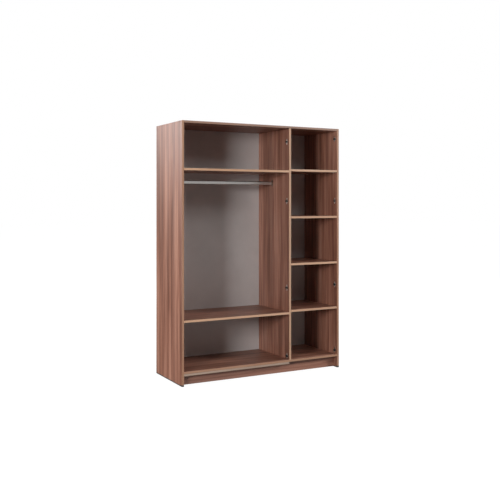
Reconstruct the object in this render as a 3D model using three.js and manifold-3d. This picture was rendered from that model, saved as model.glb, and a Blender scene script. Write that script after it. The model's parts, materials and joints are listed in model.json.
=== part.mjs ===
// A free-standing wardrobe carcass for three doors, shown with its doors off.
// Millimetres, +Z up, -Y is the open front, the origin is under the middle of the footprint.
import * as THREE from "three";
import { mergeVertices } from "three/addons/utils/BufferGeometryUtils.js";
import Module from "manifold-3d";

// Overall size and board stock.
const WIDTH = 1500;
const DEPTH = 550;
const HEIGHT = 2100;
const BOARD = 18;
const JOINT_GAP = 0.3; // left between pieces that meet

// Where the boards stand: heights are of each board's upper face.
const LEFT_BAY = 970; // clear width between the left side and the divider
const BOTTOM_TOP = 116;
const LEFT_SHELF_TOPS = { left_hat_shelf: 1724, left_lower_shelf: 520 };
const RIGHT_SHELF_TOPS = [1735, 1334, 934, 537];

// Back sheets, which stand in grooves and meet behind the divider.
const SHEET = 4;
const SHEET_INSET = 17; // from the rear edges to the sheet's front face
const GROOVE_DEPTH = 8;
const GROOVE_PLAY = 0.3;
const JOINER_WIDTH = 15;
const JOINER_SKIN = 1;

// Plinth under the bottom board, and the plastic strips that the sides stand on.
const PLINTH_SETBACK = 48;
const PLINTH_LIFT = 4;
const REAR_PLINTH_INSET = 30;
const BATTEN_HEIGHT = 16;
const STRIP_HEIGHT = 7;
const STRIP_NOSE_HEIGHT = 13;
const STRIP_NOSE_LENGTH = 18;

// Loose shelves on pins.
const SHELF_SIDE_PLAY = 1.2;
const SHELF_REAR_PLAY = 3;
const SHELF_SETBACK = 1.5;
const PIN_RADIUS = 2.5;
const PIN_HOLE_RADIUS = 2.85;
const PIN_HOLE_DEPTH = 11;
const PIN_SHANK = 10;
const PIN_REACH = 9;
const COLLAR_RADIUS = 3.6;
const COLLAR_THICKNESS = 0.6;
const PIN_FROM_FRONT = 55;
const PIN_FROM_SHELF_REAR = 50;
const PIN_SIDES = 12;

// Hanging rail: an upright oval tube in two open-topped cups.
const RAIL_TALL = 30;
const RAIL_THICK = 15;
const RAIL_WALL = 1;
const RAIL_CENTRE_HEIGHT = 1621.5;
const RAIL_FROM_FRONT = 286;
const CUP_PLAY = 0.5;
const CUP_WALL = 2.2;
const CUP_DEPTH = 13;
const CUP_FLANGE = 2.5;
const CUP_FLANGE_TALL = 62;
const CUP_FLANGE_WIDE = 24;

// Door hinge mounting plates: their screws stand on a line behind the front edge.
const SCREW_LINE = 37;
const SCREW_SPACING = 32;
const SCREW_HOLE_RADIUS = 2.4;
const WING_TALL = 52;
const WING_WIDE = 13;
const WING_THICK = 1.8;
const ARM_WIDE = 16;
const ARM_THICK = 8.5;
const ARM_NOSE = 18; // in front of the screw line
const ARM_TAIL = 18; // behind it
const ARM_SLOPE = 5;
const PLATE_HEIGHTS = [1970, 1464, 725, 144];
const RIGHT_PLATE_HEIGHTS = [2013, 1466, 728, 149];

// Derived places.
const FRONT = -DEPTH / 2;
const REAR = DEPTH / 2;
const LEFT_INNER = -WIDTH / 2 + BOARD;
const DIVIDER_LEFT = LEFT_INNER + LEFT_BAY;
const DIVIDER_RIGHT = DIVIDER_LEFT + BOARD;
const RIGHT_INNER = WIDTH / 2 - BOARD;
const SHEET_FRONT = REAR - SHEET_INSET;
const SHEET_REAR = SHEET_FRONT + SHEET;
const BOTTOM_UNDER = BOTTOM_TOP - BOARD;
const TOP_UNDER = HEIGHT - BOARD;
const RAIL_Y = FRONT + RAIL_FROM_FRONT;

function look(color, roughness, metalness = 0) {
  return new THREE.MeshStandardMaterial({ color, roughness, metalness });
}
const WALNUT = look(0x7d5a4b, 0.55);
const GREY_SHEET = look(0xa09890, 0.7);
const NICKEL = look(0xb9b6b0, 0.3, 1);
const RAIL_STEEL = look(0xb4b0ab, 0.35, 1);
const DARK_PLASTIC = look(0x4a4744, 0.6);
const PALE_PLASTIC = look(0xa8a29b, 0.5);

const wasm = await Module();
wasm.setup();

function toSolid(geometry) {
  const plain = geometry.clone();
  plain.deleteAttribute("normal");
  plain.deleteAttribute("uv");
  const merged = mergeVertices(plain, 1e-4);
  return new wasm.Manifold(
    new wasm.Mesh({
      numProp: 3,
      vertProperties: merged.attributes.position.array,
      triVerts: new Uint32Array(merged.index.array),
    }),
  );
}

function toGeometry(solid) {
  const mesh = solid.getMesh();
  const geometry = new THREE.BufferGeometry();
  geometry.setAttribute("position", new THREE.BufferAttribute(mesh.vertProperties, 3));
  geometry.setIndex(new THREE.BufferAttribute(mesh.triVerts, 1));
  geometry.computeVertexNormals();
  return geometry;
}

function subtract(geometry, tools) {
  const cut = tools.reduce((solid, tool) => solid.subtract(toSolid(tool)), toSolid(geometry));
  return toGeometry(cut);
}

function part(name, geometry, material, position = [0, 0, 0]) {
  const mesh = new THREE.Mesh(geometry, material);
  mesh.name = name;
  mesh.position.set(...position);
  return mesh;
}

// A box between two corners given in the wardrobe's own frame.
function boxBetween(low, high) {
  const size = high.map((value, i) => value - low[i]);
  const centre = high.map((value, i) => (value + low[i]) / 2);
  return { geometry: new THREE.BoxGeometry(...size), centre };
}

// A board between two corners, less any cutting shapes given in the wardrobe's frame.
function board(name, low, high, material = WALNUT, tools = []) {
  const { geometry, centre } = boxBetween(low, high);
  const local = tools.map((tool) => tool.clone().translate(...centre.map((c) => -c)));
  return part(name, local.length ? subtract(geometry, local) : geometry, material, centre);
}

function boxTool(low, high) {
  const { geometry, centre } = boxBetween(low, high);
  return geometry.translate(...centre);
}

// An outline in the Y-Z plane, extruded towards +X from the plane x = 0.
function extrudeAlongX(outline, length) {
  const options = { depth: length, bevelEnabled: false, curveSegments: 8 };
  const geometry = new THREE.ExtrudeGeometry(outline, options);
  return geometry.applyMatrix4(new THREE.Matrix4().set(0, 0, 1, 0, 1, 0, 0, 0, 0, 1, 0, 0, 0, 0, 0, 1));
}

// A stadium standing on end, centred on the origin.
function uprightOval(path, tall, wide) {
  const r = wide / 2;
  const straight = tall / 2 - r;
  path.moveTo(r, -straight);
  path.lineTo(r, straight);
  path.absarc(0, straight, r, 0, Math.PI, false);
  path.lineTo(-r, -straight);
  path.absarc(0, -straight, r, Math.PI, 2 * Math.PI, false);
  return path;
}

function roundHole(x, y, radius) {
  return new THREE.Path().absarc(x, y, radius, 0, 2 * Math.PI, false);
}

// The groove for the back sheets, as a box that reaches past the board's end faces.
function grooveTool(low, high) {
  const near = SHEET_FRONT - GROOVE_PLAY;
  const far = SHEET_REAR + GROOVE_PLAY;
  return boxTool([low[0], near, low[1]], [high[0], far, high[1]]);
}

// Carcass ------------------------------------------------------------------------------------

// Each side stands on a plastic strip with a taller nose at the front, so its corner is notched.
function sidePanel(name, outerX, direction, tools) {
  const innerX = outerX + direction * BOARD;
  const lowX = Math.min(outerX, innerX);
  const notch = boxTool(
    [lowX - 1, FRONT - 1, STRIP_HEIGHT - 1],
    [lowX + BOARD + 1, FRONT + STRIP_NOSE_LENGTH + JOINT_GAP, STRIP_NOSE_HEIGHT + JOINT_GAP],
  );
  const grooveX = [innerX - direction * GROOVE_DEPTH, innerX + direction];
  const groove = grooveTool(
    [Math.min(...grooveX), STRIP_HEIGHT - 1],
    [Math.max(...grooveX), HEIGHT + 1],
  );
  const low = [lowX, FRONT, STRIP_HEIGHT + JOINT_GAP];
  const high = [lowX + BOARD, REAR, HEIGHT];
  return board(name, low, high, WALNUT, [notch, groove, ...tools]);
}

function baseStrip(name, centreX) {
  const nose = FRONT + STRIP_NOSE_LENGTH;
  const outline = new THREE.Shape([
    new THREE.Vector2(FRONT, 0),
    new THREE.Vector2(REAR, 0),
    new THREE.Vector2(REAR, STRIP_HEIGHT),
    new THREE.Vector2(nose, STRIP_HEIGHT),
    new THREE.Vector2(nose, STRIP_NOSE_HEIGHT),
    new THREE.Vector2(FRONT, STRIP_NOSE_HEIGHT),
  ]);
  return part(name, extrudeAlongX(outline, BOARD), DARK_PLASTIC, [centreX - BOARD / 2, 0, 0]);
}

function topAndBottom() {
  const lowX = LEFT_INNER + JOINT_GAP;
  const highX = RIGHT_INNER - JOINT_GAP;
  const topGroove = grooveTool([lowX - 1, TOP_UNDER - 1], [highX + 1, TOP_UNDER + GROOVE_DEPTH]);
  const bottomGroove = grooveTool(
    [lowX - 1, BOTTOM_TOP - GROOVE_DEPTH],
    [highX + 1, BOTTOM_TOP + 1],
  );
  return [
    board("top_panel", [lowX, FRONT, TOP_UNDER], [highX, REAR, HEIGHT], WALNUT, [topGroove]),
    board("bottom_panel", [lowX, FRONT, BOTTOM_UNDER], [highX, REAR, BOTTOM_TOP], WALNUT, [
      bottomGroove,
    ]),
  ];
}

function divider(tools) {
  const low = [DIVIDER_LEFT, FRONT, BOTTOM_TOP + JOINT_GAP];
  const high = [DIVIDER_RIGHT, SHEET_FRONT - JOINER_SKIN - 2 * JOINT_GAP, TOP_UNDER - JOINT_GAP];
  return board("centre_divider", low, high, WALNUT, tools);
}

function backSheets() {
  const middle = (DIVIDER_LEFT + DIVIDER_RIGHT) / 2;
  const reach = GROOVE_DEPTH - GROOVE_PLAY;
  const seam = JOINER_SKIN / 2 + JOINT_GAP;
  const lowZ = BOTTOM_TOP - reach;
  const highZ = TOP_UNDER + reach;
  const sheet = (name, x0, x1) =>
    board(name, [x0, SHEET_FRONT, lowZ], [x1, SHEET_REAR, highZ], GREY_SHEET);
  return [
    sheet("back_sheet_left", LEFT_INNER - reach, middle - seam),
    sheet("back_sheet_right", middle + seam, RIGHT_INNER + reach),
    backJoiner(middle),
  ];
}

// An H-section strip that holds the two back sheets edge to edge behind the divider.
function backJoiner(x) {
  const half = JOINER_WIDTH / 2;
  const web = JOINER_SKIN / 2;
  const inner = SHEET / 2 + JOINT_GAP;
  const outer = inner + JOINER_SKIN;
  const corner = [
    [half, -outer],
    [half, -inner],
    [web, -inner],
    [web, inner],
    [half, inner],
    [half, outer],
  ];
  const mirrored = corner.map(([u, v]) => [-u, -v]);
  const outline = new THREE.Shape([...corner, ...mirrored].map(([u, v]) => new THREE.Vector2(u, v)));
  const height = TOP_UNDER - BOTTOM_TOP - 2 * JOINT_GAP;
  const geometry = new THREE.ExtrudeGeometry(outline, { depth: height, bevelEnabled: false });
  const y = SHEET_FRONT + SHEET / 2;
  return part("back_sheet_joiner", geometry, PALE_PLASTIC, [x, y, BOTTOM_TOP + JOINT_GAP]);
}

function plinth() {
  const lowX = LEFT_INNER + JOINT_GAP;
  const highX = RIGHT_INNER - JOINT_GAP;
  const top = BOTTOM_UNDER - JOINT_GAP;
  const front = FRONT + PLINTH_SETBACK;
  const rear = REAR - REAR_PLINTH_INSET;
  const braceX = (DIVIDER_LEFT + DIVIDER_RIGHT) / 2;
  const braceFront = front + BOARD + JOINT_GAP;
  const braceRear = rear - BOARD - JOINT_GAP;
  const brace = [braceX - BOARD / 2, braceX + BOARD / 2];
  const batten = [FRONT, BOTTOM_UNDER - JOINT_GAP - BATTEN_HEIGHT];
  return [
    board("front_plinth", [lowX, front, PLINTH_LIFT], [highX, front + BOARD, top]),
    board("rear_plinth", [lowX, rear - BOARD, PLINTH_LIFT], [highX, rear, top]),
    board("plinth_brace", [brace[0], braceFront, PLINTH_LIFT], [brace[1], braceRear, top]),
    board(
      "brace_glide",
      [brace[0], braceFront, 0],
      [brace[1], braceRear, PLINTH_LIFT - JOINT_GAP],
      DARK_PLASTIC,
    ),
    board("left_front_batten", [lowX, ...batten], [DIVIDER_LEFT, front - JOINT_GAP, top]),
  ];
}

function fixedShelves() {
  return Object.entries(LEFT_SHELF_TOPS).map(([name, top]) =>
    board(
      name,
      [LEFT_INNER + JOINT_GAP, FRONT, top - BOARD],
      [DIVIDER_LEFT - JOINT_GAP, SHEET_FRONT - JOINT_GAP, top],
    ),
  );
}

// Loose shelves and their pins -----------------------------------------------------------------

const PIN_YS = {
  front: FRONT + PIN_FROM_FRONT,
  rear: SHEET_FRONT - SHELF_REAR_PLAY - PIN_FROM_SHELF_REAR,
};
// The face that a row of pins stands on, and the way the pins point into the bay.
const PIN_FACES = {
  left: { x: DIVIDER_RIGHT, direction: 1 },
  right: { x: RIGHT_INNER, direction: -1 },
};

function pinHeight(shelfTop) {
  return shelfTop - BOARD - JOINT_GAP - PIN_RADIUS;
}

// Turned about Y: shank in the board, a thin collar on its face, and the peg that carries the shelf.
function pinGeometry(direction) {
  const collarEnd = JOINT_GAP + COLLAR_THICKNESS;
  const profile = [
    [0, -PIN_SHANK],
    [PIN_RADIUS, -PIN_SHANK],
    [PIN_RADIUS, JOINT_GAP],
    [COLLAR_RADIUS, JOINT_GAP],
    [COLLAR_RADIUS, collarEnd],
    [PIN_RADIUS, collarEnd],
    [PIN_RADIUS, PIN_REACH - 0.8],
    [PIN_RADIUS - 0.8, PIN_REACH],
    [0, PIN_REACH],
  ].map(([r, h]) => new THREE.Vector2(r, h));
  return new THREE.LatheGeometry(profile, PIN_SIDES).rotateZ((-direction * Math.PI) / 2);
}

function looseShelf(number, top) {
  const group = new THREE.Group();
  group.add(
    board(
      `right_shelf_${number}`,
      [DIVIDER_RIGHT + SHELF_SIDE_PLAY, FRONT + SHELF_SETBACK, top - BOARD],
      [RIGHT_INNER - SHELF_SIDE_PLAY, SHEET_FRONT - SHELF_REAR_PLAY, top],
    ),
  );
  for (const [side, face] of Object.entries(PIN_FACES)) {
    for (const [end, y] of Object.entries(PIN_YS)) {
      const name = `shelf_${number}_pin_${side}_${end}`;
      group.add(part(name, pinGeometry(face.direction), NICKEL, [face.x, y, pinHeight(top)]));
    }
  }
  return group;
}

function pinHoles(side) {
  const { x, direction } = PIN_FACES[side];
  const length = PIN_HOLE_DEPTH + 1;
  const middle = x - direction * (PIN_HOLE_DEPTH - length / 2);
  return RIGHT_SHELF_TOPS.flatMap((top) =>
    Object.values(PIN_YS).map((y) =>
      new THREE.CylinderGeometry(PIN_HOLE_RADIUS, PIN_HOLE_RADIUS, length, PIN_SIDES)
        .rotateZ(Math.PI / 2)
        .translate(middle, y, pinHeight(top)),
    ),
  );
}

// Hanging rail ---------------------------------------------------------------------------------

function rail() {
  const outline = uprightOval(new THREE.Shape(), RAIL_TALL, RAIL_THICK);
  outline.holes.push(
    uprightOval(new THREE.Path(), RAIL_TALL - 2 * RAIL_WALL, RAIL_THICK - 2 * RAIL_WALL),
  );
  const endPlay = CUP_FLANGE + JOINT_GAP + CUP_PLAY;
  const length = LEFT_BAY - 2 * endPlay;
  const place = [LEFT_INNER + endPlay, RAIL_Y, RAIL_CENTRE_HEIGHT];
  return part("hanging_rail", extrudeAlongX(outline, length), RAIL_STEEL, place);
}

// A flange on the board with a cup that holds the rail's end and is open upwards.
function railCup(name, faceX, direction) {
  const flangeOutline = uprightOval(new THREE.Shape(), CUP_FLANGE_TALL, CUP_FLANGE_WIDE);
  const screwHeight = CUP_FLANGE_TALL / 2 - 6;
  for (const z of [-screwHeight, screwHeight]) {
    flangeOutline.holes.push(roundHole(0, z, SCREW_HOLE_RADIUS));
  }
  const inner = RAIL_THICK / 2 + CUP_PLAY;
  const outer = inner + CUP_WALL;
  const straight = RAIL_TALL / 2 - RAIL_THICK / 2;
  const rim = RAIL_TALL / 2 - 2;
  const cup = new THREE.Shape();
  cup.moveTo(outer, rim);
  cup.lineTo(inner, rim);
  cup.lineTo(inner, -straight);
  cup.absarc(0, -straight, inner, 0, -Math.PI, true);
  cup.lineTo(-inner, rim);
  cup.lineTo(-outer, rim);
  cup.lineTo(-outer, -straight);
  cup.absarc(0, -straight, outer, Math.PI, 2 * Math.PI, false);
  const body = toSolid(extrudeAlongX(flangeOutline, CUP_FLANGE)).add(
    toSolid(extrudeAlongX(cup, CUP_DEPTH)),
  );
  const geometry = toGeometry(body);
  if (direction < 0) geometry.rotateZ(Math.PI);
  const place = [faceX + direction * JOINT_GAP, RAIL_Y, RAIL_CENTRE_HEIGHT];
  return part(name, geometry, NICKEL, place);
}

// Door hinge mounting plates -------------------------------------------------------------------

// A thin upright wing with two screw holes, crossed by a raised arm that takes the hinge.
function plateGeometry(direction) {
  const wing = uprightOval(new THREE.Shape(), WING_TALL, WING_WIDE);
  for (const z of [-SCREW_SPACING / 2, SCREW_SPACING / 2]) {
    wing.holes.push(roundHole(0, z, SCREW_HOLE_RADIUS));
  }
  const profile = [
    [-ARM_NOSE, 0],
    [ARM_TAIL, 0],
    [ARM_TAIL, ARM_THICK - ARM_SLOPE],
    [ARM_TAIL - ARM_SLOPE, ARM_THICK],
    [ARM_SLOPE - ARM_NOSE, ARM_THICK],
    [-ARM_NOSE, ARM_THICK - ARM_SLOPE],
  ];
  const outline = new THREE.Shape(profile.map(([y, h]) => new THREE.Vector2(h, y)));
  const options = { depth: ARM_WIDE, bevelEnabled: false };
  const arm = new THREE.ExtrudeGeometry(outline, options).translate(0, 0, -ARM_WIDE / 2);
  const plate = toSolid(extrudeAlongX(wing, WING_THICK)).add(toSolid(arm));
  const geometry = toGeometry(plate);
  return direction > 0 ? geometry : geometry.rotateY(Math.PI);
}

function platesOn(column, faceX, direction, heights) {
  return heights.map((z, i) => {
    const place = [faceX + direction * JOINT_GAP, FRONT + SCREW_LINE, z];
    return part(`hinge_plate_${column}_${i + 1}`, plateGeometry(direction), NICKEL, place);
  });
}

const wardrobe = new THREE.Group();
wardrobe.add(
  sidePanel("left_side_panel", -WIDTH / 2, 1, []),
  sidePanel("right_side_panel", WIDTH / 2, -1, pinHoles("right")),
  baseStrip("left_base_strip", -WIDTH / 2 + BOARD / 2),
  baseStrip("right_base_strip", WIDTH / 2 - BOARD / 2),
  ...topAndBottom(),
  divider(pinHoles("left")),
  ...backSheets(),
  ...plinth(),
  ...fixedShelves(),
  ...RIGHT_SHELF_TOPS.map((top, i) => looseShelf(i + 1, top)),
  rail(),
  railCup("rail_cup_left", LEFT_INNER, 1),
  railCup("rail_cup_right", DIVIDER_LEFT, -1),
  ...platesOn("left", LEFT_INNER, 1, PLATE_HEIGHTS),
  ...platesOn("centre", DIVIDER_LEFT, -1, PLATE_HEIGHTS),
  ...platesOn("right", RIGHT_INNER, -1, RIGHT_PLATE_HEIGHTS),
);

export default wardrobe;
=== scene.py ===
import json
import math

import bmesh
import bpy
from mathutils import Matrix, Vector


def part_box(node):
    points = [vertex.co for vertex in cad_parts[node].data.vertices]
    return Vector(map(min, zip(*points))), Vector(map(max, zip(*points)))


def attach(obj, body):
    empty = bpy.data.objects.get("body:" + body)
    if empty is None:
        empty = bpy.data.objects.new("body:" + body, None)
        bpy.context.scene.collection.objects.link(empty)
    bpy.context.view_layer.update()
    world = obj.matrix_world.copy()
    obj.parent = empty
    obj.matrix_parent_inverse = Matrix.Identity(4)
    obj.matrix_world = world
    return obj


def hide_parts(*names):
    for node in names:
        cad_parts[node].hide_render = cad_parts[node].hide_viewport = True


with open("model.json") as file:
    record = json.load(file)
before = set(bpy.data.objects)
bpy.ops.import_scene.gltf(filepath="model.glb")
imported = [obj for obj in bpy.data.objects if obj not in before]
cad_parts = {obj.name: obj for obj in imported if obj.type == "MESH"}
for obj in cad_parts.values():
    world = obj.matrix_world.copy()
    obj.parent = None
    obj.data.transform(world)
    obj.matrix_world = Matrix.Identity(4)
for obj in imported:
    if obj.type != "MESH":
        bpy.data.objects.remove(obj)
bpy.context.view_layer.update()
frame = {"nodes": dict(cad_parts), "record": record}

# Metres throughout. The wardrobe's open front faces -Y.
MM = 0.001
BAND = 2 * MM  # thickness of the edging on a board's front
EDGE_RADIUS = 0.9 * MM
EDGE_STEPS = 2
SHARP = 0.5  # radians between two faces, above which the edge between them is rounded
SMOOTH = 35  # degrees between two faces, below which they are shaded as one
GRAIN_STEP = 3.7  # metres in the decor from one board's number to the next


# Node materials -----------------------------------------------------------------------------


class Shader:
    """A node material while it is put together. Values are numbers, tuples or other nodes' outputs."""

    def __init__(self, name):
        self.material = bpy.data.materials.new(name)
        self.material.use_nodes = True
        self.tree = self.material.node_tree
        self.surface = self.tree.nodes["Principled BSDF"]

    def node(self, kind, inputs=(), **settings):
        made = self.tree.nodes.new(kind)
        for key, value in settings.items():
            setattr(made, key, value)
        for key, value in dict(inputs).items():
            self.feed(made.inputs[key], value)
        return made

    def feed(self, socket, value):
        if isinstance(value, bpy.types.NodeSocket):
            self.tree.links.new(value, socket)
        else:
            socket.default_value = value

    def set(self, **inputs):
        for key, value in inputs.items():
            self.feed(self.surface.inputs[key.replace("_", " ")], value)

    def math(self, operation, a, b):
        return self.node("ShaderNodeMath", {0: a, 1: b}, operation=operation).outputs[0]

    def scaled(self, vector, factors):
        made = self.node("ShaderNodeVectorMath", {0: vector, 1: factors}, operation="MULTIPLY")
        return made.outputs[0]

    def shifted(self, vector, offset):
        made = self.node("ShaderNodeVectorMath", {0: vector, 1: offset}, operation="ADD")
        return made.outputs[0]

    def noise(self, vector, scale=1.0, detail=2.0, roughness=0.5, distortion=0.0):
        inputs = {
            "Vector": vector,
            "Scale": scale,
            "Detail": detail,
            "Roughness": roughness,
            "Distortion": distortion,
        }
        return self.node("ShaderNodeTexNoise", inputs).outputs["Fac"]

    def remap(self, value, low, high, to_low=0.0, to_high=1.0):
        inputs = {"Value": value, "From Min": low, "From Max": high, "To Min": to_low, "To Max": to_high}
        return self.node("ShaderNodeMapRange", inputs).outputs["Result"]

    def ramp(self, value, stops):
        made = self.node("ShaderNodeValToRGB", {"Fac": value})
        elements = made.color_ramp.elements
        while len(elements) < len(stops):
            elements.new(0.5)
        for element, (position, colour) in zip(elements, stops):
            element.position = position
            element.color = (*colour, 1.0)
        return made.outputs["Color"]

    def mix(self, factor, a, b, blend="MIX"):
        made = self.node("ShaderNodeMix", {"Factor": factor}, data_type="RGBA", blend_type=blend)
        sockets = [s for s in made.inputs if s.type == "RGBA"]
        for socket, value in zip(sockets, (a, b)):
            colour = (*value, 1.0) if isinstance(value, tuple) and len(value) == 3 else value
            self.feed(socket, colour)
        return next(s for s in made.outputs if s.type == "RGBA")

    def bump(self, height, strength, distance):
        inputs = {"Height": height, "Strength": strength, "Distance": distance}
        self.set(Normal=self.node("ShaderNodeBump", inputs).outputs["Normal"])

    def place(self, name=None):
        """Coordinates in metres: the attribute of that name, or the piece's own."""
        if name:
            return self.node("ShaderNodeAttribute", attribute_name=name).outputs["Vector"]
        return self.node("ShaderNodeTexCoord").outputs["Object"]


def centred(shader, value, weight):
    """A noise value turned into a swing of that weight about zero."""
    return shader.math("MULTIPLY", shader.math("SUBTRACT", value, 0.5), weight)


def wood_tones(shader):
    """A printed walnut decor: (broad bands, streaks, dark lines, fibres, pores), all along the grain."""
    grain = shader.place("grain")
    drift = shader.noise(shader.scaled(grain, (0.8, 5.0, 5.0)), detail=1.0)
    sway = shader.noise(shader.scaled(grain, (3.5, 20.0, 20.0)), detail=1.0)
    shift = shader.math("ADD", centred(shader, drift, 0.070), centred(shader, sway, 0.010))
    offset = shader.node("ShaderNodeCombineXYZ", {"Y": shift, "Z": shift}).outputs[0]
    bent = shader.shifted(grain, offset)
    broad = shader.noise(shader.scaled(bent, (0.5, 14.0, 14.0)), detail=2.0, roughness=0.45)
    streaks = shader.noise(shader.scaled(bent, (1.1, 48.0, 48.0)), detail=3.0, roughness=0.62)
    lines = shader.noise(shader.scaled(bent, (0.9, 95.0, 95.0)), detail=1.0)
    fibres = shader.noise(shader.scaled(bent, (8.0, 560.0, 560.0)), detail=2.0)
    pores = shader.noise(shader.scaled(bent, (38.0, 1300.0, 1300.0)), detail=1.0)
    return broad, streaks, lines, fibres, pores


def walnut(name, dark, middle, light, roughness=0.42, contrast=1.0):
    """Melamine board with a printed walnut decor: streaks along the grain, and pores pressed in."""
    shader = Shader(name)
    broad, streaks, lines, fibres, pores = wood_tones(shader)
    tone = shader.math(
        "ADD",
        centred(shader, broad, 1.50 * contrast),
        centred(shader, streaks, 1.45 * contrast),
    )
    tone = shader.math("ADD", tone, centred(shader, fibres, 0.35))
    tone = shader.math("ADD", tone, 0.5)
    colour = shader.ramp(tone, [(0.12, dark), (0.5, middle), (0.88, light)])
    # Some bands lean towards grey, others towards red.
    lean = shader.noise(shader.scaled(shader.place("grain"), (0.5, 21.0, 21.0)), detail=1.0)
    grey = tuple(0.7 * c + 0.3 * sum(middle) / 3 for c in middle)
    colour = shader.mix(shader.remap(lean, 0.45, 0.72, 0.0, 0.45), colour, grey)
    line = shader.remap(lines, 0.60, 0.72, 0.0, 0.55 * contrast)
    colour = shader.mix(line, colour, tuple(0.72 * c for c in dark))
    pore = shader.remap(pores, 0.62, 0.74)
    colour = shader.mix(shader.math("MULTIPLY", pore, 0.35), colour, tuple(0.5 * c for c in dark))
    height = shader.math("SUBTRACT", shader.math("MULTIPLY", fibres, 0.35), pore)
    gloss = shader.remap(fibres, 0.3, 0.7, roughness - 0.04, roughness + 0.05)
    shader.set(Base_Color=colour, Roughness=gloss)
    shader.bump(height, 0.25, 0.0002)
    shader.set(Specular_IOR_Level=0.5)
    return shader.material


def chipboard():
    """Raw edge of a board: pressed flakes, coarser in the middle of the thickness."""
    shader = Shader("chipboard_edge")
    place = shader.place()
    flakes = shader.noise(place, scale=420.0, detail=4.0, roughness=0.7, distortion=0.4)
    lumps = shader.noise(place, scale=90.0, detail=2.0)
    tone = shader.math("ADD", shader.math("MULTIPLY", flakes, 0.8), shader.math("MULTIPLY", lumps, 0.2))
    stops = [
        (0.30, (0.16, 0.09, 0.045)),
        (0.48, (0.40, 0.26, 0.14)),
        (0.62, (0.58, 0.42, 0.25)),
        (0.78, (0.70, 0.55, 0.36)),
    ]
    shader.set(Base_Color=shader.ramp(tone, stops), Roughness=0.85)
    shader.bump(flakes, 0.6, 0.0006)
    return shader.material


def grey_sheet():
    """Lacquered face of the thin back sheet, with a faint orange-peel and a little unevenness."""
    shader = Shader("grey_lacquered_sheet")
    place = shader.place()
    clouds = shader.noise(place, scale=5.0, detail=3.0)
    weave = shader.noise(shader.scaled(place, (900.0, 900.0, 260.0)), detail=2.0)
    base = shader.ramp(clouds, [(0.3, (0.615, 0.59, 0.58)), (0.7, (0.68, 0.655, 0.645))])
    colour = shader.mix(shader.remap(weave, 0.35, 0.65, 0.0, 0.10), base, (0.43, 0.41, 0.40))
    shader.set(Base_Color=colour, Roughness=shader.remap(weave, 0.3, 0.7, 0.50, 0.60))
    shader.bump(weave, 0.15, 0.0002)
    return shader.material


def fibreboard():
    """Bare rear face of the back sheet: brown pressed fibres."""
    shader = Shader("bare_fibreboard")
    place = shader.place()
    fibres = shader.noise(shader.scaled(place, (320.0, 320.0, 520.0)), detail=4.0, roughness=0.65)
    clouds = shader.noise(place, scale=3.5, detail=3.0)
    base = shader.ramp(clouds, [(0.3, (0.290, 0.178, 0.103)), (0.7, (0.325, 0.204, 0.119))])
    colour = shader.mix(shader.remap(fibres, 0.55, 0.75, 0.0, 0.55), base, (0.12, 0.066, 0.035))
    colour = shader.mix(shader.remap(fibres, 0.45, 0.25, 0.0, 0.45), colour, (0.50, 0.36, 0.23))
    shader.set(Base_Color=colour, Roughness=0.8)
    shader.bump(fibres, 0.3, 0.0003)
    return shader.material


def plated_metal(name, colour, roughness, brushed=(1.0, 1.0, 1.0)):
    """Nickel or chrome plate over steel, with drawn lines and a slightly clouded gloss."""
    shader = Shader(name)
    place = shader.place()
    lines = shader.noise(shader.scaled(place, tuple(900.0 * b for b in brushed)), detail=2.0)
    clouds = shader.noise(place, scale=60.0, detail=2.0)
    dull = shader.math("ADD", shader.math("MULTIPLY", lines, 0.6), shader.math("MULTIPLY", clouds, 0.4))
    tint = shader.ramp(clouds, [(0.3, tuple(0.88 * c for c in colour)), (0.7, colour)])
    shader.set(Base_Color=tint, Metallic=1.0)
    shader.set(Roughness=shader.remap(dull, 0.3, 0.7, roughness - 0.07, roughness + 0.08))
    shader.bump(lines, 0.08, 0.0001)
    return shader.material


def moulded_plastic(name, colour, roughness=0.5):
    """Fine-grained moulded or extruded plastic."""
    shader = Shader(name)
    place = shader.place()
    grit = shader.noise(place, scale=2600.0, detail=1.0)
    clouds = shader.noise(place, scale=25.0, detail=2.0)
    darker = tuple(0.85 * c for c in colour)
    lighter = tuple(1.1 * c for c in colour)
    tint = shader.ramp(clouds, [(0.3, darker), (0.7, lighter)])
    shader.set(Base_Color=tint, Roughness=shader.remap(grit, 0.3, 0.7, roughness - 0.05, roughness + 0.08))
    shader.bump(grit, 0.25, 0.0001)
    return shader.material


WALNUT = walnut("walnut_melamine", (0.155, 0.062, 0.038), (0.300, 0.129, 0.084), (0.470, 0.235, 0.165))
BANDING = walnut(
    "walnut_edge_band", (0.47, 0.260, 0.150), (0.66, 0.395, 0.245), (0.80, 0.53, 0.36), 0.40, 0.6
)
# A darker copy of the same edge band: painted shade on the front edges of the sides and the bottom.
SHADED_SIDE_BANDING = walnut(
    "walnut_side_edge_band_painted_shade", (0.29, 0.140, 0.080), (0.44, 0.225, 0.135), (0.54, 0.32, 0.20), 0.42, 0.6
)
# A still darker copy of the same edge band: painted shade on the top's front edge.
SHADED_TOP_BANDING = walnut(
    "walnut_top_edge_band_painted_shade", (0.19, 0.105, 0.072), (0.33, 0.185, 0.130), (0.42, 0.26, 0.19), 0.42, 0.6
)
BATTEN = walnut(
    "walnut_batten", (0.31, 0.205, 0.145), (0.45, 0.320, 0.240), (0.56, 0.420, 0.33), 0.45, 0.6
)
CHIPBOARD = chipboard()
SHEET = grey_sheet()
FIBREBOARD = fibreboard()
NICKEL = plated_metal("nickel_plate", (0.88, 0.86, 0.82), 0.24)
# A near-black copy of the nickel plate for the hinge arms: painted shade where the plated arm sits in
# shadow.
SHADED_ARM_NICKEL = plated_metal("nickel_plate_painted_shade", (0.045, 0.040, 0.036), 0.36)
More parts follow.
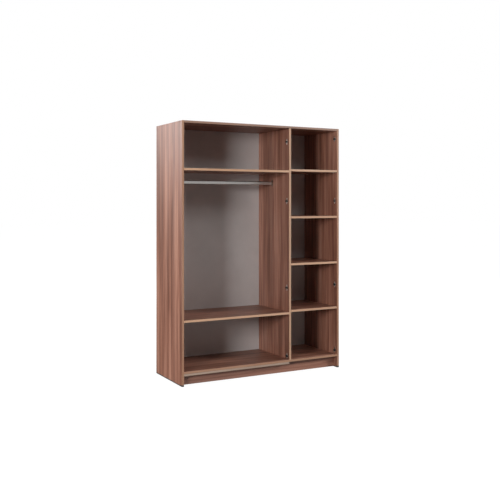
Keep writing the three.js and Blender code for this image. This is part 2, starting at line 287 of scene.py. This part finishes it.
# A darker, browner copy of plated metal for the rail cups: painted reflection of the wood around them.
CUP_METAL_PAINTED_REFLECTION = plated_metal("dull_metal_painted_wood_reflection", (0.27, 0.225, 0.19), 0.48)
RAIL_STEEL = plated_metal("satin_rail_steel", (0.52, 0.505, 0.485), 0.34, (0.02, 1.0, 1.0))
DARK_PLASTIC = moulded_plastic("dark_base_plastic", (0.060, 0.056, 0.052))
JOINER_PLASTIC = moulded_plastic("joiner_plastic", (0.42, 0.36, 0.31))


# Pieces -------------------------------------------------------------------------------------

BODY_OF = {
    node: body
    for body, nodes in frame["record"]["behaviour"]["bodies"].items()
    for node in nodes
}


def node_bmesh(node):
    """The CAD node's shape, with its triangles joined into whole flat faces."""
    shape = bmesh.new()
    shape.from_mesh(frame["nodes"][node].data)
    bmesh.ops.remove_doubles(shape, verts=shape.verts, dist=1e-6)
    bmesh.ops.dissolve_limit(
        shape, angle_limit=math.radians(0.5), verts=shape.verts, edges=shape.edges
    )
    return shape


def finish_piece(shape, name, body, materials, replaced=None, smooth=None):
    """Turns a bmesh into an object that rides on a body and stands for a node."""
    mesh = bpy.data.meshes.new(name)
    bmesh.ops.recalc_face_normals(shape, faces=shape.faces)
    shape.to_mesh(mesh)
    shape.free()
    for material in materials:
        mesh.materials.append(material)
    piece = bpy.data.objects.new(name, mesh)
    bpy.context.collection.objects.link(piece)
    if smooth is not None:
        mesh.shade_smooth()
        mesh.set_sharp_from_angle(angle=math.radians(smooth))
        # A face square to an axis is flat, and stays flat beside the rounded edges.
        for face in mesh.polygons:
            face.use_smooth = max(abs(c) for c in face.normal) < 0.9999
    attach(piece, body)
    if replaced:
        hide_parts(replaced)
    return piece


def on_plane(value, plane, reach=1e-5):
    return abs(value - plane) < reach


def outer_edges(shape, low, high):
    """The edges where two of a board's six outer faces meet."""
    found = []
    for edge in shape.edges:
        middle = (edge.verts[0].co + edge.verts[1].co) / 2
        planes = sum(on_plane(middle[i], low[i]) or on_plane(middle[i], high[i]) for i in range(3))
        if planes >= 2 and len(edge.link_faces) == 2 and edge.calc_face_angle(0) > SHARP:
            found.append(edge)
    return found


def write_grain(mesh, axis, offset):
    """Stores (along, across, through) at each vertex, so that the decor follows the board."""
    order = {"X": (0, 1, 2), "Z": (2, 1, 0)}[axis]
    grain = mesh.attributes.new("grain", "FLOAT_VECTOR", "POINT")
    for vertex, item in zip(mesh.vertices, grain.data):
        item.vector = [vertex.co[i] + offset for i in order]


# A board's faces that may be left raw: the axis each looks along, and which way.
SIDES = {
    "rear": (1, 1),
    "left": (0, -1),
    "right": (0, 1),
    "under": (2, -1),
    "top": (2, 1),
}
COATED, EDGED, RAW = range(3)  # places in a board's list of materials


def board(node, grain_axis, number, banding=None, raw=("rear",), material=None):
    """A coated board with rounded edges, edging on its front and bare chipboard where it has none."""
    low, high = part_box(node)
    shape = node_bmesh(node)
    if banding:
        bmesh.ops.bisect_plane(
            shape,
            geom=[*shape.verts, *shape.edges, *shape.faces],
            plane_co=(0, low[1] + BAND, 0),
            plane_no=(0, 1, 0),
        )
    edges = outer_edges(shape, low, high)
    bmesh.ops.bevel(
        shape,
        geom=edges,
        offset=EDGE_RADIUS,
        segments=EDGE_STEPS,
        profile=0.5,
        affect="EDGES",
        clamp_overlap=True,
    )
    shape.normal_update()
    for face in shape.faces:
        centre = face.calc_center_median()
        face.material_index = COATED
        for side in raw:
            axis, sign = SIDES[side]
            plane = high[axis] if sign > 0 else low[axis]
            if sign * face.normal[axis] > 0.9 and on_plane(centre[axis], plane, 1e-4):
                face.material_index = RAW
        if banding and centre[1] < low[1] + BAND:
            face.material_index = EDGED
    materials = [material or WALNUT, banding or WALNUT, CHIPBOARD]
    piece = finish_piece(shape, node + "_board", BODY_OF[node], materials, node, SMOOTH)
    write_grain(piece.data, grain_axis, GRAIN_STEP * number)


def boards():
    ends = ("rear", "left", "right")
    hidden = ("top", "under", "left", "right")
    # The sides and the bottom take a darker copy of the edge band, and the top a darker one still: painted
    # shade on their front edges.
    board("left_side_panel", "Z", 67, SHADED_SIDE_BANDING, ("rear", "under"))
    board("right_side_panel", "Z", 2, SHADED_SIDE_BANDING, ("rear", "under"))
    board("centre_divider", "Z", 3, BANDING)
    board("top_panel", "X", 4, SHADED_TOP_BANDING, ends)
    board("bottom_panel", "X", 5, SHADED_SIDE_BANDING, ends)
    board("front_plinth", "X", 6, raw=hidden)
    board("rear_plinth", "X", 7, raw=hidden)
    board("plinth_brace", "X", 8, raw=("top", "under", "rear"))
    board("left_hat_shelf", "X", 9, BANDING, ends)
    board("left_lower_shelf", "X", 10, BANDING, ends)
    for number in range(1, 5):
        board(f"right_shelf_{number}", "X", 10 + number, BANDING, ends)
    board("left_front_batten", "X", 15, BATTEN, ends, BATTEN)


def back_sheets():
    """Thin fibreboard, lacquered grey on the face that shows inside and bare behind."""
    for side in ("left", "right"):
        node = f"back_sheet_{side}"
        shape = node_bmesh(node)
        for face in shape.faces:
            face.material_index = 0 if face.normal.y < -0.5 else 1
        finish_piece(shape, f"back_fibreboard_{side}", "carcass", [SHEET, FIBREBOARD], node)
    shape = node_bmesh("back_sheet_joiner")
    long_edges = [e for e in shape.edges if e.calc_length() > 1.0 and e.is_convex]
    bmesh.ops.bevel(shape, geom=long_edges, offset=0.2 * MM, segments=2, profile=0.5, affect="EDGES")
    finish_piece(
        shape, "back_joining_strip", "carcass", [JOINER_PLASTIC], "back_sheet_joiner", SMOOTH
    )


def base_plastics():
    """Moulded strips under the sides and the glide under the brace, with rounded edges."""
    for node in ("left_base_strip", "right_base_strip", "brace_glide"):
        shape = node_bmesh(node)
        edges = [e for e in shape.edges if e.is_convex and e.calc_face_angle(0) > SHARP]
        bmesh.ops.bevel(shape, geom=edges, offset=0.7 * MM, segments=3, profile=0.5, affect="EDGES")
        finish_piece(shape, node + "_moulding", "carcass", [DARK_PLASTIC], node, SMOOTH)


# Metal fittings. Heights are out of the board that carries the fitting, along X.

PLATE_SCREWS = 16 * MM  # above and below the middle of the plate
FLANGE_SCREWS = 25 * MM  # above and below the middle of the rail's section
CROSS = 5  # how many of a screw's 32 sides make each arm of its cross recess
WING_WIDE = 13 * MM
WING_THICK = 1.8 * MM
ARM_HALF = 8 * MM  # half of the arm's width
ARM_SLOPE = 5 * MM  # how far the arm's sloping ends reach, along the arm and down
CHANNEL_RIM = 2.6 * MM  # what is left beside the channel in the arm's top
CHANNEL_DEEP = 2.8 * MM
FRONT_FIXING = 12.5 * MM  # front screw in the channel, from the arm's front end
REAR_FIXING = 11.5 * MM  # rear screw in the channel, from the arm's rear end
FLANGE_THICK = 2.5 * MM
PIN_SEAT = 10.3 * MM  # how much of a pin is in the board, up to its collar


def turned(shape, foot, direction, rings, sides=32):
    """A closed turned shape about an axis along X. A ring is (radius, height) or (radius, height, web),
    where web is the smaller radius between the four arms of a cross recess."""
    made = []
    for radius, height, *web in rings:
        ring = []
        for i in range(sides):
            between = (i + CROSS // 2) % (sides // 4) >= CROSS
            reach = web[0] if web and between else radius
            angle = 2 * math.pi * i / sides
            y = foot[1] + reach * math.cos(angle)
            z = foot[2] + reach * math.sin(angle)
            ring.append(shape.verts.new((foot[0] + direction * height, y, z)))
        made.append(ring)
    for near, far in zip(made, made[1:]):
        for i in range(sides):
            j = (i + 1) % sides
            shape.faces.new((near[i], near[j], far[j], far[i]))
    shape.faces.new(made[0])
    shape.faces.new(made[-1])


def screw_head(shape, foot, direction, radius=4.0 * MM, rise=2.1 * MM):
    """Domed head with a cross recess."""
    arm = 0.52 * radius
    web = 0.19 * radius
    dome = [math.radians(angle) for angle in (0, 18, 36, 54)]
    rings = [(0.62 * radius, -1.0 * MM)]
    rings += [(radius * math.cos(angle), rise * math.sin(angle)) for angle in dome]
    rings += [(arm, 0.93 * rise, web), (0.80 * arm, 0.25 * rise, 0.8 * web)]
    turned(shape, foot, direction, rings)


def prism(shape, outline, across):
    """Closed solid from an outline of (x, y, z) corners, drawn out along the vector across."""
    low = [shape.verts.new(corner) for corner in outline]
    high = [shape.verts.new(Vector(corner) + Vector(across)) for corner in outline]
    made = [shape.faces.new(low), shape.faces.new(reversed(high))]
    for i, corner in enumerate(low):
        j = (i + 1) % len(low)
        made.append(shape.faces.new((corner, high[i], high[j], low[j])))
    return made


def round_over(shape, faces, radius):
    """Rounds every sharp outer edge of the faces."""
    edges = {e for face in faces for e in face.edges}
    sharp = [e for e in edges if len(e.link_faces) == 2 and e.calc_face_angle(0) > SHARP]
    bmesh.ops.bevel(
        shape,
        geom=sharp,
        offset=radius,
        segments=EDGE_STEPS,
        profile=0.5,
        affect="EDGES",
        clamp_overlap=True,
    )


def upright_oval(middle_y, middle_z, tall, wide, steps=20):
    """Points of an upright slot shape, as (y, z)."""
    radius = wide / 2
    straight = tall / 2 - radius
    points = []
    for end in (1, -1):
        for i in range(steps + 1):
            angle = math.pi * i / steps + (0 if end > 0 else math.pi)
            y = middle_y + radius * math.cos(angle)
            z = middle_z + end * straight + radius * math.sin(angle)
            points.append((y, z))
    return points


def plate_arm(shape, face, direction, low, high):
    """The raised arm: sloping ends, and a channel sunk along its top that holds the fixing screws."""
    middle = (low[2] + high[2]) / 2
    top = high[0] - low[0]
    outline = [
        (0.0, low[1]),
        (top - ARM_SLOPE, low[1]),
        (top, low[1] + ARM_SLOPE),
        (top, high[1] - ARM_SLOPE),
        (top - ARM_SLOPE, high[1]),
        (0.0, high[1]),
    ]
    corners = [(face + direction * h, y, middle - ARM_HALF) for h, y in outline]
    made = prism(shape, corners, (0, 0, 2 * ARM_HALF))
    bmesh.ops.recalc_face_normals(shape, faces=made)
    roof = next(f for f in made if direction * f.normal.x > 0.9)
    bmesh.ops.inset_region(shape, faces=[roof], thickness=CHANNEL_RIM, use_even_offset=True)
    for corner in roof.verts:
        corner.co.x -= direction * CHANNEL_DEEP
    round_over(shape, [f for f in shape.faces if f.is_valid], 0.45 * MM)
    bed = face + direction * (top - CHANNEL_DEEP)
    screw_head(shape, (bed, low[1] + FRONT_FIXING, middle), direction, 3.3 * MM, 1.6 * MM)
    screw_head(shape, (bed, high[1] - REAR_FIXING, middle), direction, 2.7 * MM, 1.0 * MM)


def hinge_plate(node, direction):
    """Mounting plate of a door hinge: a screwed-down wing crossed by the arm that takes the hinge."""
    low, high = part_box(node)
    face = low[0] if direction > 0 else high[0]
    middle = (low[2] + high[2]) / 2
    screw_line = (low[1] + high[1]) / 2
    arm = bmesh.new()
    plate_arm(arm, face, direction, low, high)
    # The plated arm is drawn near black: painted shade.
    finish_piece(arm, node + "_arm", "carcass", [SHADED_ARM_NICKEL], node, SMOOTH)
    wing = bmesh.new()
    outline = upright_oval(screw_line, middle, high[2] - low[2], WING_WIDE)
    corners = [(face, y, z) for y, z in outline]
    round_over(wing, prism(wing, corners, (direction * WING_THICK, 0, 0)), 0.4 * MM)
    for side in (-1, 1):
        foot = (face + direction * WING_THICK, screw_line, middle + side * PLATE_SCREWS)
        screw_head(wing, foot, direction)
    finish_piece(wing, node + "_wing", "carcass", [NICKEL], node, SMOOTH)


def hinge_plates():
    directions = {"left": 1, "centre": -1, "right": -1}
    for column, direction in directions.items():
        for number in range(1, 5):
            hinge_plate(f"hinge_plate_{column}_{number}", direction)


def hanging_rail():
    """Upright oval tube of thin steel with its cut edges rounded."""
    low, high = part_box("hanging_rail")
    tall = high[2] - low[2]
    wide = high[1] - low[1]
    y = (low[1] + high[1]) / 2
    z = (low[2] + high[2]) / 2
    wall = 1.0 * MM
    soft = 0.3 * MM
    loops = [
        (low[0], wall - soft),
        (low[0], soft),
        (low[0] + soft, 0.0),
        (high[0] - soft, 0.0),
        (high[0], soft),
        (high[0], wall - soft),
        (high[0] - soft, wall),
        (low[0] + soft, wall),
    ]
    shape = bmesh.new()
    rings = []
    for x, inset in loops:
        outline = upright_oval(y, z, tall - 2 * inset, wide - 2 * inset)
        rings.append([shape.verts.new((x, *point)) for point in outline])
    for near, far in zip(rings, rings[1:] + rings[:1]):
        for i in range(len(near)):
            j = (i + 1) % len(near)
            shape.faces.new((near[i], near[j], far[j], far[i]))
    finish_piece(shape, "hanging_rail_tube", "rail", [RAIL_STEEL], "hanging_rail", smooth=40)


def rail_cups():
    for node, direction in (("rail_cup_left", 1), ("rail_cup_right", -1)):
        low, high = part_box(node)
        shape = node_bmesh(node)
        round_over(shape, list(shape.faces), 0.35 * MM)
        face = low[0] if direction > 0 else high[0]
        middle = ((low[1] + high[1]) / 2, (low[2] + high[2]) / 2)
        for side in (-1, 1):
            foot = (face + direction * FLANGE_THICK, middle[0], middle[1] + side * FLANGE_SCREWS)
            screw_head(shape, foot, direction, 3.9 * MM, 1.2 * MM)
        # The cups' dark brownish metal is painted reflection of the surrounding wood.
        finish_piece(shape, node + "_casting", "carcass", [CUP_METAL_PAINTED_REFLECTION], node, SMOOTH)


def shelf_pins():
    """Turned pins with a collar that stops them in the board."""
    for node in frame["nodes"]:
        if "_pin_" not in node:
            continue
        low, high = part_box(node)
        direction = 1 if "_pin_left_" in node else -1
        foot = (low[0] if direction > 0 else high[0], (low[1] + high[1]) / 2, (low[2] + high[2]) / 2)
        long = high[0] - low[0]
        shank = 2.5 * MM
        collar = (high[2] - low[2]) / 2
        disc = 1.5 * MM  # thickness of the collar
        soft = 0.4 * MM  # rounding of the collar's rim
        rings = [
            (shank - 0.7 * MM, 0.0),
            (shank, 0.7 * MM),
            (shank, PIN_SEAT),
            (collar - soft, PIN_SEAT),
            (collar, PIN_SEAT + soft),
            (collar, PIN_SEAT + disc - soft),
            (collar - soft, PIN_SEAT + disc),
            (shank, PIN_SEAT + disc),
            (shank, long - 0.9 * MM),
            (shank - 0.35 * MM, long - 0.3 * MM),
            (shank - 1.0 * MM, long),
        ]
        shape = bmesh.new()
        turned(shape, foot, direction, rings)
        finish_piece(shape, node + "_turned", BODY_OF[node], [NICKEL], node, SMOOTH)


boards()
back_sheets()
base_plastics()
hinge_plates()
hanging_rail()
rail_cups()
shelf_pins()


# Studio -------------------------------------------------------------------------------------


def aim(thing, target):
    direction = Vector(target) - thing.location
    thing.rotation_euler = direction.to_track_quat("-Z", "Y").to_euler()


def area_light(name, place, target, width, height, power, mirrored=True):
    """A softbox that the camera never sees; mirrored says whether glossy surfaces show it."""
    data = bpy.data.lights.new(name, "AREA")
    data.shape = "RECTANGLE"
    data.size = width
    data.size_y = height
    data.energy = power
    light = bpy.data.objects.new(name, data)
    bpy.context.collection.objects.link(light)
    light.location = place
    light.visible_camera = False
    light.visible_glossy = mirrored
    aim(light, target)


def choose(tree, factor, off, on):
    """A Mix node of two numbers; each may be a constant or another node's output."""
    made = tree.nodes.new("ShaderNodeMix")
    tree.links.new(factor, made.inputs["Factor"])
    for name, value in (("A", off), ("B", on)):
        if isinstance(value, float):
            made.inputs[name].default_value = value
        else:
            tree.links.new(value, made.inputs[name])
    return made.outputs["Result"]


def world_light(seen, before, behind, ambient):
    """White surroundings. The camera finds them seen bright and diffuse light finds them ambient bright.
    Glossy reflections find the half before the wardrobe and the half behind it each at its own."""
    world = bpy.data.worlds.new("studio")
    bpy.context.scene.world = world
    world.use_nodes = True
    tree = world.node_tree
    background = tree.nodes["Background"]
    background.inputs["Color"].default_value = (1.0, 1.0, 1.0, 1.0)
    path = tree.nodes.new("ShaderNodeLightPath").outputs
    towards = tree.nodes.new("ShaderNodeSeparateXYZ")
    tree.links.new(tree.nodes.new("ShaderNodeTexCoord").outputs["Generated"], towards.inputs[0])
    rearward = tree.nodes.new("ShaderNodeMapRange")
    fade = 0.3  # how gradually the front half gives way to the rear half
    rearward.inputs["From Min"].default_value = -fade
    rearward.inputs["From Max"].default_value = fade
    tree.links.new(towards.outputs["Y"], rearward.inputs["Value"])
    mirrored = choose(tree, rearward.outputs["Result"], before, behind)
    strength = choose(tree, path["Is Glossy Ray"], ambient, mirrored)
    strength = choose(tree, path["Is Camera Ray"], strength, seen)
    tree.links.new(strength, background.inputs["Strength"])


def floor():
    """Pale floor with a glow of its own, which rises a little from near to far, in metres."""
    size = 40.0
    near = 1.2
    far = 3.5
    mesh = bpy.data.meshes.new("studio_floor")
    corners = [(-size, -size, 0), (size, -size, 0), (size, size, 0), (-size, size, 0)]
    mesh.from_pydata(corners, [], [(0, 1, 2, 3)])
    plane = bpy.data.objects.new("studio_floor", mesh)
    bpy.context.collection.objects.link(plane)
    shader = Shader("studio_floor")
    away = shader.node("ShaderNodeVectorMath", {0: shader.place()}, operation="LENGTH").outputs["Value"]
    shader.set(Base_Color=(0.16, 0.16, 0.16, 1.0), Roughness=0.9, Specular_IOR_Level=0.0)
    glow = shader.remap(away, near, far, 0.93, 1.0)
    shader.set(Emission_Color=(1.0, 1.0, 1.0, 1.0), Emission_Strength=glow)
    mesh.materials.append(shader.material)
    plane.visible_diffuse = False
    plane.visible_glossy = False


def camera():
    data = bpy.data.cameras.new("camera")
    data.sensor_width = 36.0
    data.lens = 53.46
    data.shift_x = 0.0038
    data.shift_y = -0.0974
    data.clip_end = 200.0
    eye = bpy.data.objects.new("camera", data)
    bpy.context.collection.objects.link(eye)
    eye.location = (-3.0608, -5.6615, 1.4452)
    heading = math.radians(28.31)
    tilt = math.radians(0.15)
    eye.rotation_euler = (math.pi / 2 + tilt, 0.0, -heading)
    bpy.context.scene.camera = eye


camera()
floor()
world_light(seen=1.0, before=0.64, behind=0.05, ambient=0.01)
area_light("left_softbox", (-7.57, -4.95, 2.32), (-0.2, 0.0, 1.05), 2.0, 1.75, 460.0)
area_light("right_softbox", (7.5, -4.5, 3.5), (-0.2, -0.3, 1.0), 2.0, 2.0, 470.0)
area_light("front_top", (1.5, -6.2, 5.6), (-0.2, -0.3, 1.0), 2.5, 2.0, 80.0)
area_light("floor_bounce", (-0.6, -1.8, 0.03), (-0.6, -1.2, 2.0), 3.0, 1.6, 4.0)
area_light("left_rear", (-5.0, 5.0, 3.05), (-0.75, 0.0, 1.9), 3.0, 1.6, 185.0)
area_light("left_side", (-7.0, 0.5, 3.0), (-0.75, 0.0, 1.0), 2.0, 2.0, 190.0)
area_light("right_rear", (5.0, 6.0, 3.5), (0.0, 0.0, 1.2), 3.0, 3.0, 450.0, mirrored=False)
bpy.context.scene.view_settings.view_transform = "Standard"
